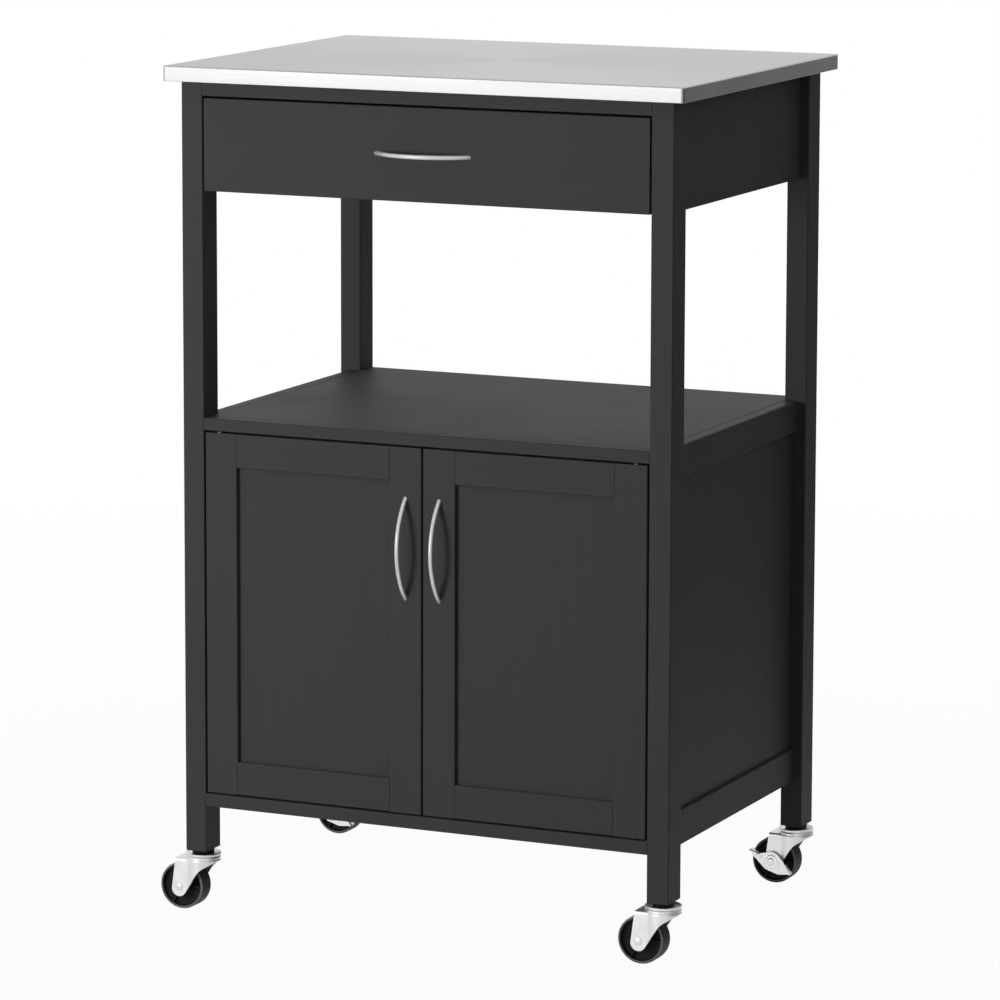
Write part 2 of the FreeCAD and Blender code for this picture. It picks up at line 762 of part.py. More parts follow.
def wheel():
    """Moulded wheel: a tread, pockets between ribs in both faces, and a long hub."""
    hub_half = fork_half_width - fork_sheet - hub_gap
    bore_radius = axle_diameter / 2 + axle_clearance
    bore = flatted_bore(bore_radius, axle_place(-hub_half), axle_place(hub_half))
    pockets = []
    for face in (-1, 1):
        for rib in range(wheel_ribs):
            turn = 360.0 * rib / wheel_ribs
            pockets.append(wheel_pocket(face).rotated(axle_place(0), Vector(0, 1, 0), turn))
    disc = cylinder(wheel_diameter / 2, axle_place(-wheel_width / 2), axle_place(wheel_width / 2))
    hub = flatted(hub_diameter / 2, axle_place(-hub_half), axle_place(hub_half), axle_flats)
    return disc.cut(pockets).fuse(hub).removeSplitter().cut(bore)


def lever_point(place):
    return Vector(place[0], 0, place[1])


def lever_flange(start, end, depth):
    """A strip folded back from a straight edge of the lever, one sheet thick."""
    along = (end - start).normalize()
    inward = Vector(along.z, 0, -along.x) * lever_sheet
    sheet = Vector(0, lever_sheet, 0)
    strip = [start + sheet, end + sheet, end + inward + sheet, start + inward + sheet]
    return prism(strip, Vector(0, depth, 0))


def brake_lever():
    """Stamped rocker on the axle: humped middle, pedal arm, and a wing on the other side."""
    pedal, root = Vector(lever_pedal_x, 0, lever_pedal_z), lever_point(lever_pedal_root)
    wing_root, wing_tip = lever_point(lever_wing_root), lever_point(lever_wing_tip)
    hump = []
    for angle in (lever_hump_start, (lever_hump_start + lever_hump_end) / 2, lever_hump_end):
        hump.append(Vector(cos(radians(angle)), 0, sin(radians(angle))) * lever_hump_radius)
    corners = [hump[2], wing_root, wing_tip, lever_point(lever_heel), lever_point(lever_belly),
               lever_point(lever_chin), pedal, root, hump[0]]
    edges = [Part.LineSegment(a, b).toShape() for a, b in zip(corners, corners[1:])]
    edges.append(Part.Arc(*hump).toShape())
    plate = Part.Face(Part.Wire(edges)).extrude(Vector(0, lever_sheet, 0))
    # strips folded back towards the wheel stiffen both treads; the pedal's end reaches the tyre
    shoe_end = pedal + (root - pedal).normalize() * lever_shoe_length
    wing_start = wing_root + (wing_tip - wing_root).normalize() * lever_wing_flange_start
    flanges = [lever_flange(pedal, root, lever_flange_depth),
               lever_flange(pedal, shoe_end, lever_shoe_depth),
               lever_flange(wing_start, wing_tip, lever_flange_depth)]
    bore_radius = axle_diameter / 2 + shaft_clearance
    bore = flatted_bore(bore_radius, Vector(0, -lever_sheet, 0), Vector(0, 2 * lever_sheet, 0))
    lever = plate.fuse(flanges).removeSplitter().cut(bore)
    return lever.translated(axle_place(-(fork_half_width + lever_standoff + lever_sheet)))


# ---------------------------------------------------------------- write every node
sides = {"left": -1, "right": 1}
ends = {"front": -1, "rear": 1}

export("worktop_board", worktop_board())
export("worktop_steel", worktop_steel())
export("front_top_rail", front_rail(worktop_under - top_rail_height, carcass_top))
export("front_shelf_rail", drilled_rail(shelf_under, shelf_top, 1))
export("front_bottom_rail", drilled_rail(bottom_rail_under, bottom_top, -1))
export("apron_rear", box(-inner_x, inner_x, rear_y - rail_thickness, rear_y, apron_bottom, carcass_top))
export("shelf_board", full_board(shelf_under, shelf_top))
export("bottom_board", full_board(bottom_rail_under, bottom_top))
export("back_panel", box(-inner_x, inner_x, rear_y - back_thickness, rear_y, bottom_top, shelf_under))

for side_name, side in sides.items():
    upper = side_member(side, shelf_top - upper_rail_height, shelf_top)
    lower = side_member(side, bottom_rail_under, bottom_rail_under + lower_rail_height)
    export("apron_" + side_name, side_member(side, apron_bottom, carcass_top))
    export("side_upper_rail_" + side_name, upper.cut(side_groove(side)))
    export("side_lower_rail_" + side_name, lower.cut(side_groove(side)))
    export("side_panel_" + side_name, side_panel(side))
    export("runner_cabinet_" + side_name, cabinet_runner(side))
    export("runner_drawer_" + side_name, drawer_runner(side))
    export("drawer_side_" + side_name, drawer_side(side))

export("drawer_front", drawer_front())
export("drawer_back", drawer_back())
export("drawer_bottom", drawer_bottom())
export("drawer_handle", group(handle(drawer_handle_frame())))
export("runner_front_rollers", group([roller(side, front_roller_y) for side in sides.values()]))
export("runner_rear_rollers", group([roller(side, rear_roller_y) for side in sides.values()]))

bushes = []
for side_name, side in sides.items():
    door = "door_" + side_name + "_"
    export(door + "hinge_stile", door_stile(side, True))
    export(door + "lock_stile", door_stile(side, False))
    export(door + "top_rail", door_rail(side, True))
    export(door + "bottom_rail", door_rail(side, False))
    export(door + "panel", door_panel(side))
    export(door + "handle", group(handle(door_handle_frame(side))))
    pins = [pivot_pin(side, z, up) for z, up in pivot_ends()]
    export(door + "pivots_and_strike", group(pins + [strike(side)]))
    bushes.append(bush(pivot_axis(side, bottom_top), -1))
    bushes.append(bush(pivot_axis(side, shelf_under), 1))
export("pivot_bushes_and_catch", group(bushes + [catch_body(), magnet(-1), magnet(1)]))

sockets, stems = [], []
for end_name, end in ends.items():
    for side_name, side in sides.items():
        place = Vector(side * caster_x, end * caster_y, 0)
        braked = end_name == "rear"
        stack = lever_standoff + lever_sheet + running_gap if braked else 0.0
        export("leg_" + end_name + "_" + side_name, leg(side, end))
        export("caster_fork_" + end_name + "_" + side_name, fork(stack).translated(place))
        export("caster_wheel_" + end_name + "_" + side_name, wheel().translated(place))
        if braked:
            export("brake_lever_" + side_name, brake_lever().translated(place))
        sockets.append(stem_socket().translated(place))
        stems.append(caster_stem().translated(place))
export("stem_sockets", group(sockets))
export("caster_stems", group(stems))
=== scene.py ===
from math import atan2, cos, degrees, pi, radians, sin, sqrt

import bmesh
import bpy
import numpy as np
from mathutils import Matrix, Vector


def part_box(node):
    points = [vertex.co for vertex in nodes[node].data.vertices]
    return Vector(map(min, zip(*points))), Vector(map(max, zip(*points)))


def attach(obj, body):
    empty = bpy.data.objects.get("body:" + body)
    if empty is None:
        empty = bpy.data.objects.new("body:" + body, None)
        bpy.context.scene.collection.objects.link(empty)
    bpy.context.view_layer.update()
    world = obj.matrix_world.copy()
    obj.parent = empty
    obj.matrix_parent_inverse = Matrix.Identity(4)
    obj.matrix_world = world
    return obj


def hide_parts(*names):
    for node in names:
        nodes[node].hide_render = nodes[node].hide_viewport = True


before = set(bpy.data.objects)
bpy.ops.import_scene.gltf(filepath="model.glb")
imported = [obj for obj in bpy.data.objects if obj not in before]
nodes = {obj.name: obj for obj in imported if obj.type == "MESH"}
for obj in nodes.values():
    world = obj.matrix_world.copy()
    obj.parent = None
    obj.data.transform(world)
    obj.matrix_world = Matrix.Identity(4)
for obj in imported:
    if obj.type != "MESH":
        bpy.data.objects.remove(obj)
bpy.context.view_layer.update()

# %% [markdown]
# A kitchen cart: black painted wood, a steel-wrapped worktop, bowed metal pulls and four zinc swivel
# casters. The CAD model already has every part in place, so this lesson does two things. It gives each
# part a finish that is worked out from numbers, and it swaps the parts that the CAD model keeps coarse,
# such as wheels and pulls, for smooth ones that stand in the same place.

MM = 0.001  # the pieces are worked out in millimetres and written in metres

# %% [markdown]
# Where the moving parts are. Each caster is built once, round its own swivel axis with the wheel trailing
# to the left, and then written four times. The boxes of the CAD nodes say where, so nothing is measured
# twice.

# %% Places taken from the CAD boxes
def box_mm(node):
    """Lowest and highest corner of a CAD node, in millimetres."""
    low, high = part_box(node)
    return np.array(low) / MM, np.array(high) / MM


CORNERS = ("front_left", "front_right", "rear_left", "rear_right")
BRAKED = {"rear_left": "left", "rear_right": "right"}
TRAIL = 21.0  # swivel axis to axle
WHEEL_R = 25.0
casters = {}
for corner in CORNERS:
    low, high = box_mm("caster_wheel_" + corner)
    casters[corner] = np.array([(low[0] + high[0]) / 2 + TRAIL, (low[1] + high[1]) / 2, 0.0])
print("swivel axes:", {k: [round(float(c), 2) for c in v[:2]] for k, v in casters.items()})

# %% [markdown]
# A curved surface is a grid: a table of points with rows and columns, where each point is a formula of
# two numbers. The mesh is then the points, and the squares between neighbours. These helpers make the
# squares, merge what coincides and turn the faces outwards.

# %% From grids to meshes
def quads(rows, columns, close_rows=False, close_columns=False):
    """Corner numbers of the squares of a grid stored row by row, with the ends joined if asked."""
    r, c = np.meshgrid(np.arange(rows if close_rows else rows - 1),
                       np.arange(columns if close_columns else columns - 1), indexing="ij")
    below, right = (r + 1) % rows, (c + 1) % columns
    return np.stack([r * columns + c, r * columns + right, below * columns + right, below * columns + c],
                    -1).reshape(-1, 4)


def sheet_of(grid, close_rows=False, close_columns=False, keep=None):
    """A grid of points (rows, columns, 3) as (points, faces); keep says which squares are real."""
    faces = quads(grid.shape[0], grid.shape[1], close_rows, close_columns)
    if keep is not None:
        faces = faces[np.asarray(keep).reshape(-1)]
    return grid.reshape(-1, 3), faces


def arc(centre, radius, start, end, steps):
    """Points (x, y) = centre + radius (cos a, sin a), with a from start to end degrees."""
    a = np.radians(np.linspace(start, end, steps + 1))
    return np.column_stack([centre[0] + radius * np.cos(a), centre[1] + radius * np.sin(a)])


def rounded(corners, radii, steps=5, closed=False):
    """A polyline with each corner replaced by an arc that touches both of its sides."""
    points = np.asarray(corners, float)
    out = []
    for i, p in enumerate(points):
        if not closed and i in (0, len(points) - 1) or radii[i] == 0:
            out.append(p[None])
            continue
        a, b = points[i - 1] - p, points[(i + 1) % len(points)] - p
        la, lb = np.linalg.norm(a), np.linalg.norm(b)
        a, b = a / la, b / lb
        half = np.arccos(np.clip(a @ b, -1, 1)) / 2
        reach = min(radii[i] / np.tan(half), 0.49 * la, 0.49 * lb)
        radius = reach * np.tan(half)
        middle = (a + b) / np.linalg.norm(a + b) * radius / np.sin(half) + p
        start, end = p + a * reach - middle, p + b * reach - middle
        t = np.linspace(0, 1, steps + 1)[:, None]
        spread = np.arccos(np.clip(start @ end / radius ** 2, -1, 1))
        out.append(middle + (np.sin((1 - t) * spread) * start + np.sin(t * spread) * end) / np.sin(spread))
    return np.vstack(out)


def turned(profile, steps=64, closed=False):
    """A surface of revolution round Z: each (radius, height) of the profile goes to
    (radius cos a, radius sin a, height) for a all the way round."""
    a = np.linspace(0, 2 * pi, steps, endpoint=False)
    r, h = np.asarray(profile, float).T
    grid = np.stack([np.outer(r, np.cos(a)), np.outer(r, np.sin(a)), np.outer(h, np.ones(steps))], -1)
    return sheet_of(grid, close_rows=closed, close_columns=True)


def laid(part, axis, origin=(0, 0, 0)):
    """A part made round Z, turned so that its Z runs along axis, with its middle at origin."""
    points, faces = part
    z = np.asarray(axis, float)
    x = np.array([0.0, 0.0, 1.0]) if abs(z[2]) < 0.5 else np.array([1.0, 0.0, 0.0])
    y = np.cross(z, x)
    return points @ np.stack([x, y, z]) + np.asarray(origin, float), faces


def shifted(part, by):
    return part[0] + np.asarray(by, float), part[1]


def mesh_of(name, parts, sharp=35.0):
    """One object from several (points, faces), in millimetres, with doubles merged, empty faces
    dropped, normals outwards and edges over sharp degrees kept crisp."""
    mesh = bpy.data.meshes.new(name)
    work = bmesh.new()
    for points, faces in parts:
        corner = [work.verts.new(p) for p in (points * MM).tolist()]
        local = []
        for face in faces.tolist():
            try:
                local.append(work.faces.new([corner[i] for i in face]))
            except ValueError:
                continue
        bmesh.ops.remove_doubles(work, verts=corner, dist=2e-6)
    bmesh.ops.dissolve_degenerate(work, edges=work.edges, dist=1e-6)
    loose = [v for v in work.verts if not v.link_faces]
    bmesh.ops.delete(work, geom=loose, context="VERTS")
    bmesh.ops.recalc_face_normals(work, faces=work.faces)
    work.to_mesh(mesh)
    work.free()
    mesh.polygons.foreach_set("use_smooth", np.ones(len(mesh.polygons), bool))
    mesh.set_sharp_from_angle(angle=radians(sharp))
    piece = bpy.data.objects.new(name, mesh)
    bpy.context.scene.collection.objects.link(piece)
    return piece


def place(piece, body, finish, slot, *stands_for):
    """Gives a piece its finish and its body, and hides the CAD nodes that it stands for."""
    piece.data.materials.append(finish)
    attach(piece, body)
    if stands_for:
        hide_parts(*stands_for)
    print(f"{piece.name}: {len(piece.data.polygons)} faces on {body}")
    return piece


print("helpers ready")

# %% [markdown]
# A material is a small network: coordinates on the object go through noise, and the noise moves the
# colour, the roughness and the height a little. Stretched noise makes wood grain or brushing. A short
# helper keeps each network readable.

# %% A helper for node networks
class Network:
    """A new material, with short ways to add nodes and wires."""

    def __init__(self, name, **sockets):
        self.material = bpy.data.materials.new(name)
        self.material.use_nodes = True
        self.tree = self.material.node_tree
        self.shader = self.tree.nodes["Principled BSDF"]
        for socket, value in sockets.items():
            self.shader.inputs[socket.replace("_", " ")].default_value = value

    def add(self, kind, settings=None, **inputs):
        """A node; an input's value may be a number, a tuple or another node's output."""
        node = self.tree.nodes.new("ShaderNode" + kind)
        for key, value in (settings or {}).items():
            setattr(node, key, value)
        for key, value in inputs.items():
            socket = node.inputs[int(key[1:])] if key[1:].isdigit() else node.inputs[key.replace("_", " ")]
            if isinstance(value, bpy.types.NodeSocket):
                self.tree.links.new(value, socket)
            else:
                socket.default_value = value
        return node

    def stretched(self, scale, detail=4.0, roughness=0.55, distortion=0.0):
        """Noise on the object's own coordinates, with a scale for each axis, in cycles a metre."""
        where = self.add("TexCoord").outputs["Object"]
        scaled = self.add("Mapping", Vector=where, Scale=scale).outputs["Vector"]
        noise = self.add("TexNoise", Vector=scaled, Scale=1.0, Detail=detail, Roughness=roughness,
                         Distortion=distortion)
        return noise.outputs["Fac"]

    def between(self, factor, low, high, start=0.3, end=0.7):
        """factor from start to end becomes low to high."""
        node = self.add("MapRange", i0=factor, i1=start, i2=end, i3=low, i4=high)
        return node.outputs[0]

    def colour(self, factor, dark, light):
        mixed = self.add("Mix", {"data_type": "RGBA"}, Factor=factor)
        mixed.inputs[6].default_value = (*dark, 1.0)
        mixed.inputs[7].default_value = (*light, 1.0)
        return mixed.outputs[2]

    def sum(self, a, b, weight):
        return self.add("Math", {"operation": "MULTIPLY_ADD"}, i0=b, i1=weight, i2=a).outputs[0]

    def wire(self, socket, output):
        self.tree.links.new(output, self.shader.inputs[socket])

    def bump(self, height, distance, strength=1.0):
        node = self.add("Bump", Height=height, Distance=distance, Strength=strength)
        self.wire("Normal", node.outputs["Normal"])


def grey(value, warmth=0.0):
    """A linear grey, a touch warmer or cooler."""
    return (value * (1 + warmth), value, value * (1 - warmth))


print("network helper ready")

# %% [markdown]
# Satin black paint on wood. Two coats hide the colour of the wood, but the grain still shows as faint
# long ripples, and the sprayed surface has a fine orange peel. The grain has to run along each member:
# up the legs and doors, across the rails, and back along the side rails. So the finish is made three
# times, with the long axis of its noise turned. A bevelled normal finds the edges, which are painted a
# little paler: partly paint polished by handling, partly a painted highlight along each edge.

# %% Black paint, with its grain along X, Y or Z
def black_paint(axis):
    net = Network("black_paint_grain_" + axis, Roughness=0.55, Specular_IOR_Level=0.12)
    along, across = 7.0, 320.0
    scale = tuple(along if axis == letter else across for letter in "xyz")
    grain = net.stretched(scale, detail=5.0, roughness=0.6, distortion=0.25)
    broad = net.stretched((9.0, 9.0, 9.0), detail=2.0)
    peel = net.stretched((1500.0, 1500.0, 1500.0), detail=2.0)
    tone = net.colour(net.sum(grain, broad, 0.5), grey(0.034), grey(0.046, -0.012))
    soft = net.add("Bevel", {"samples": 4}, Radius=0.0011).outputs["Normal"]
    flat = net.add("NewGeometry").outputs["Normal"]
    facing = net.add("VectorMath", {"operation": "DOT_PRODUCT"}, i0=soft, i1=flat).outputs["Value"]
    edge = net.between(facing, 1.0, 0.0, 0.86, 0.995)
    # Edges painted paler: partly paint worn by handling, partly a painted highlight.
    worn_and_highlit = net.add("Mix", {"data_type": "RGBA"}, Factor=net.sum(0.0, edge, 0.55))
    net.tree.links.new(tone, worn_and_highlit.inputs[6])
    worn_and_highlit.inputs[7].default_value = (*grey(0.065), 1.0)
    net.wire("Base Color", worn_and_highlit.outputs[2])
    net.wire("Roughness", net.between(net.sum(grain, broad, 0.6), 0.5, 0.62, 0.4, 1.1))
    net.bump(net.sum(grain, peel, 0.2), 0.00003)
    return net.material


PAINT = {axis: black_paint(axis) for axis in "xyz"}
print("made", [m.name for m in PAINT.values()])

# %% [markdown]
# The worktop is a sheet of stainless steel, brushed along its length. The brushing is noise drawn out
# into hair-fine lines: it changes the roughness and the height, so a reflection smears across the lines
# and stays long beside them.

# %% Brushed steel, satin metal, zinc
def brushed(name, tone, rough, along, across, depth, anisotropic):
    """Metal with fine parallel lines along X."""
    net = Network(name, Metallic=1.0, Roughness=rough, Anisotropic=anisotropic)
    lines = net.stretched((along, across, across), detail=3.0, roughness=0.65)
    clouds = net.stretched((5.0, 9.0, 9.0), detail=3.0)
    both = net.sum(lines, clouds, 0.7)
    shade = net.between(both, 0.0, 1.0, 0.6, 1.1)
    net.wire("Base Color", net.colour(shade, grey(tone * 0.88), grey(tone * 1.1)))
    net.wire("Roughness", net.between(both, rough - 0.07, rough + 0.08, 0.5, 1.2))
    net.bump(lines, depth, 0.5)
    return net.material


def plated(name, tone, rough, grain, depth, metallic=1.0):
    """Metal with a faint cloudy plating and a fine tooth."""
    net = Network(name, Metallic=metallic, Roughness=rough)
    clouds = net.stretched((90.0, 90.0, 90.0), detail=3.0)
    tooth = net.stretched((grain, grain, grain), detail=2.0)
    shade = net.between(clouds, 0.0, 1.0)
    net.wire("Base Color", net.colour(shade, grey(tone * 0.96, -0.006), grey(tone * 1.03)))
    net.wire("Roughness", net.between(net.sum(clouds, tooth, 0.5), rough - 0.03, rough + 0.05, 0.5, 1.0))
    net.bump(net.sum(tooth, clouds, 0.4), depth, 0.4)
    return net.material


STEEL = brushed("brushed_steel_top", 0.42, 0.33, 4.0, 600.0, 0.00001, 0.4)
SATIN = plated("satin_nickel", 0.62, 0.30, 1500.0, 0.000002, 0.6)
ZINC = plated("bright_zinc", 0.72, 0.38, 1200.0, 0.000002)
RUNNER = plated("coated_runner_steel", 0.46, 0.42, 900.0, 0.000004)
print("made", STEEL.name, SATIN.name, ZINC.name, RUNNER.name)

# %% [markdown]
# Moulded plastics: the wheels and sockets are black, with the dull sheen of a textured mould, and the
# runner rollers are white nylon, which lets a little light in.

# %% Plastics
def moulded(name, dark, light, rough, grain, depth, highlight_grey=0.0, **sockets):
    """Plastic with faint clouds and a fine tooth. Where a piece stores a painted highlight, its colour nears
    the given grey, which paints that highlight in.
    """
    net = Network(name, Roughness=rough, **sockets)
    clouds = net.stretched((60.0, 60.0, 60.0), detail=3.0)
    tooth = net.stretched((grain, grain, grain), detail=3.0)
    plain = net.colour(net.between(clouds, 0.0, 1.0), grey(dark), grey(light))
    if highlight_grey:
        edge = net.add("Attribute", {"attribute_name": "painted_highlight"}).outputs["Fac"]
        mixed = net.add("Mix", {"data_type": "RGBA"}, Factor=edge)
        net.tree.links.new(plain, mixed.inputs[6])
        mixed.inputs[7].default_value = (*grey(highlight_grey), 1.0)
        plain = mixed.outputs[2]
    net.wire("Base Color", plain)
    net.wire("Roughness", net.between(net.sum(clouds, tooth, 0.6), rough - 0.07, rough + 0.1, 0.5, 1.1))
    net.bump(tooth, depth, 0.7)
    return net.material


BLACK = moulded("black_moulded_plastic", 0.003, 0.005, 0.45, 1700.0, 0.00001, Specular_IOR_Level=0.15)
# The wheels' rim edges are painted a paler grey: a painted highlight on the moulded rim.
WHEEL_BLACK = moulded("black_wheel_plastic", 0.009, 0.017, 0.5, 1700.0, 0.00001, highlight_grey=0.4,
                      Specular_IOR_Level=0.1)
NYLON = moulded("white_nylon", 0.62, 0.7, 0.45, 900.0, 0.00002, Subsurface_Weight=0.15,
                Subsurface_Scale=0.002)
print("made", BLACK.name, NYLON.name)

# %% [markdown]
# The CAD nodes whose shape is right stay. Their triangles are loose, so a Weld joins them, Decimate joins
# the triangles of each flat face, and a small Bevel rounds the edges as sanding and paint do. The grain
# follows the way each member was cut.

# %% Finishes and soft edges for the CAD nodes that stay
GRAIN = {
    "z": ("leg_", "side_panel_", "back_panel", "door_left_hinge", "door_left_lock", "door_right_hinge",
          "door_right_lock", "door_left_panel", "door_right_panel"),
    "x": ("front_", "apron_rear", "shelf_board", "bottom_board", "worktop_board", "drawer_front",
          "drawer_back", "drawer_bottom", "door_left_top", "door_left_bottom", "door_right_top",
          "door_right_bottom"),
    "y": ("apron_left", "apron_right", "side_upper", "side_lower", "drawer_side"),
}
OTHERS = {"worktop_steel": STEEL, "runner_cabinet": RUNNER, "runner_drawer": RUNNER,
          "runner_front": NYLON, "runner_rear": NYLON, "pivot_bushes": BLACK}


WOOD_EDGE, STEEL_EDGE, SMALL_EDGE = 0.00035, 0.0005, 0.00015  # widths of the softened edges


def finish_for(node):
    """The finish of a CAD node and the width of its softened edges."""
    for axis, starts in GRAIN.items():
        if node.startswith(starts):
            return PAINT[axis], WOOD_EDGE
    for start, finish in OTHERS.items():
        if node.startswith(start):
            return finish, STEEL_EDGE if finish is STEEL else SMALL_EDGE
    return None, 0.0


def soften(node, width):
    """Weld, join flat triangles, round the edges; the mesh itself isn't touched."""
    weld = node.modifiers.new("weld", "WELD")
    weld.merge_threshold = 0.000002
    flat = node.modifiers.new("flat", "DECIMATE")
    flat.decimate_type = "DISSOLVE"
    flat.angle_limit = radians(0.5)
    edge = node.modifiers.new("edge", "BEVEL")
    edge.width = width
    edge.segments = 2
    edge.limit_method = "ANGLE"
    edge.angle_limit = radians(28)
    even = node.modifiers.new("even", "WEIGHTED_NORMAL")
    even.weight = 90
    even.keep_sharp = True
    node.data.polygons.foreach_set("use_smooth", np.ones(len(node.data.polygons), bool))


kept = 0
for name, node in nodes.items():
    finish, width = finish_for(name)
    if finish:
        node.data.materials.clear()
        node.data.materials.append(finish)
        soften(node, width)
        kept += 1
print(kept, "CAD nodes keep their shape")

# %% [markdown]
# The pulls are rods bent to one arc and cut flat where they meet the wood. Every line along the rod is an
# arc round the same centre, so the cut needs no boolean: each line simply stops at the angle where it
# reaches the face. The rod's ends are closed flat on the face, and a screw holds each from behind.

# %% Bowed pulls and their screws
ROD_R = 2.5
BOW = 20.0  # rise of the rod's centre line
SPACING = 101.0  # between the feet
SCREW_R, HEAD_R, HEAD_UP = 1.6, 3.75, 2.0
FACE_Y = box_mm("drawer_front")[0][1]
BOARD = box_mm("drawer_front")[1][1] - FACE_Y


def pull(centre, along):
    """Bowed rod. A point is ray(a) (R + r cos t) + across (r sin t), seen from the arc's centre, and a
    runs between the two angles where (R + r cos t) cos a is the distance from that centre to the face."""
    half = SPACING / 2
    big = (half ** 2 + BOW ** 2) / (2 * BOW)
    t = np.linspace(0, 2 * pi, 32, endpoint=False)
    reach = big + ROD_R * np.cos(t)
    end = np.arccos((big - BOW) / reach)
    a = np.linspace(-1, 1, 97)[:, None] * end
    out = np.array([0.0, -1.0, 0.0])
    along = np.asarray(along, float)
    across = np.cross(out, along)
    middle = np.asarray(centre, float) - out * (big - BOW)
    grid = (middle + (reach * np.cos(a))[..., None] * out + (reach * np.sin(a))[..., None] * along
            + (ROD_R * np.sin(t) * np.ones_like(a))[..., None] * across)
    caps = []
    for row in (0, -1):
        ring = grid[row]
        fan = np.stack([ring, np.broadcast_to(ring.mean(0), ring.shape)])
        caps.append(sheet_of(fan, close_columns=True))
    points, faces = sheet_of(grid, close_columns=True)
    return [merged([(points, faces)] + caps)]


def merged(parts):
    """Several (points, faces) as one, so that their shared rims are joined."""
    start, points, faces = 0, [], []
    for p, f in parts:
        points.append(p)
        faces.append(f + start)
        start += len(p)
    return np.vstack(points), np.vstack(faces)


def cross_head(radius, height, steps=96):
    """Pan head with a cross: a dome whose height drops where |x| or |y| is small, near the middle."""
    r = np.concatenate([np.linspace(0, 0.62, 22), np.linspace(0.66, 1, 12)]) * radius
    a = np.linspace(0, 2 * pi, steps, endpoint=False)
    x, y = np.outer(r, np.cos(a)), np.outer(r, np.sin(a))
    dome = height * np.sqrt(np.clip(1 - (r / radius) ** 4, 0, 1))[:, None]
    slot = np.minimum(np.abs(x), np.abs(y)) / 0.42
    inside = np.clip(1.6 - slot, 0, 1) * np.clip((0.6 * radius - r) / 0.25, 0, 1)[:, None]
    z = np.maximum(dome - 1.1 * inside, 0.25)
    z[-1] = 0.0
    top = np.stack([x, y, z * np.ones_like(x)], -1)
    base = top[-1:] * np.array([0.0, 0.0, 1.0])
    return sheet_of(np.concatenate([top, base]), close_columns=True)


def screw(foot):
    """Screw from the back of the board into the rod's foot."""
    shank = turned(rounded([(0, -0.4), (SCREW_R, -0.4), (SCREW_R, BOARD), (0, BOARD)], [0, 0.5, 0, 0]), 24)
    head = cross_head(HEAD_R, HEAD_UP)
    back = foot + np.array([0.0, BOARD, 0.0])
    return [laid(shank, (0, 1, 0), foot), laid(head, (0, 1, 0), back)]


PULLS = (("drawer", "drawer_handle", (1, 0, 0)),
         ("door_left", "door_left_handle", (0, 0, 1)),
         ("door_right", "door_right_handle", (0, 0, 1)))
for owner, node, along in PULLS:
    low, high = box_mm(node)
    middle = (low + high) / 2
    middle[1] = FACE_Y
    parts = pull(middle, along)
    for side in (-1, 1):
        parts += screw(middle + np.array(along) * side * SPACING / 2)
    place(mesh_of(owner + "_pull", parts, 22), owner, SATIN, "satin_metal", node)

# %% [markdown]
# A caster wheel is one moulding: a tread, a dish on each side with three ribs, and a long hub. Its section
# is a closed loop of radius and height, turned once round. The ribs need no extra parts. The floor of the
# dish rises to the rib's height wherever a column of the grid stands on a rib, and the columns are placed
# by their distance from the rib's middle line, so a rib has parallel walls.

# %% Wheels
RIBS = 3
RIB_EDGE = 1.25  # foot of a rib's wall, from its middle line
RIB_TOP = 8.6  # from the wheel's middle plane


def wheel_columns():
    """For each column of a third of the wheel: distance from the rib's middle line, share of the way
    across the pocket, and how much of a rib it is."""
    offset = np.array([-RIB_EDGE, -1.05, -0.85, -0.65, 0.0, 0.65, 0.85, 1.05, RIB_EDGE])
    rib = np.array([0.0, 0.35, 0.85, 1.0, 1.0, 1.0, 0.85, 0.35, 0.0])
    share = np.linspace(0, 1, 25)[1:-1]
    return (np.concatenate([offset, np.full(share.size, RIB_EDGE)]),
            np.concatenate([np.zeros(offset.size), share]), np.concatenate([rib, np.zeros(share.size)]))


def wheel():
    """Moulded wheel round Z. A point at radius r is at angle asin(d / r) + s (120 - 2 asin(e / r)),
    where d is the column's distance from the rib's line, s its share of the pocket and e the rib's edge."""
    half, hub = 10.5, 13.8
    outer = [(3.1, 0), (3.1, hub), (6.4, hub), (7.5, hub - 1.0), (7.5, 4.5), (22.0, 4.5), (22.5, 10.0),
             (22.9, half), (24.0, half), (WHEEL_R, 9.0), (WHEEL_R, 0)]
    radii = [0, 0.3, 0.5, 0.5, 1.4, 1.8, 0.3, 0.35, 0.8, 2.2, 0]
    one = rounded(outer, radii, 5)
    many = [one[:1]]
    for a, b in zip(one, one[1:]):
        pieces = max(1, int(np.linalg.norm(b - a) / 1.6))
        many.append(a + (b - a) * (np.arange(1, pieces + 1) / pieces)[:, None])
    profile = np.vstack(many)
    r, h = profile.T
    rib_h = np.where((r > 7.3) & (r < 22.6) & (h < RIB_TOP), RIB_TOP, h)
    offset, share, rib = wheel_columns()
    edge = np.arcsin(RIB_EDGE / r)[:, None]
    angle = np.arcsin(np.minimum(np.abs(offset) / r[:, None], 1)) * np.sign(offset)
    angle = np.where(share > 0, edge + share * (2 * pi / RIBS - 2 * edge), angle)
    height = h[:, None] * (1 - rib) + rib_h[:, None] * rib
    angle = np.concatenate([angle + pi / 2 + k * 2 * pi / RIBS for k in range(RIBS)], 1)
    height = np.tile(height, RIBS)
    near = np.stack([r[:, None] * np.cos(angle), r[:, None] * np.sin(angle), height], -1)
    far = near[::-1][1:-1] * np.array([1.0, 1.0, -1.0])
    return sheet_of(np.concatenate([near, far]), close_rows=True, close_columns=True)


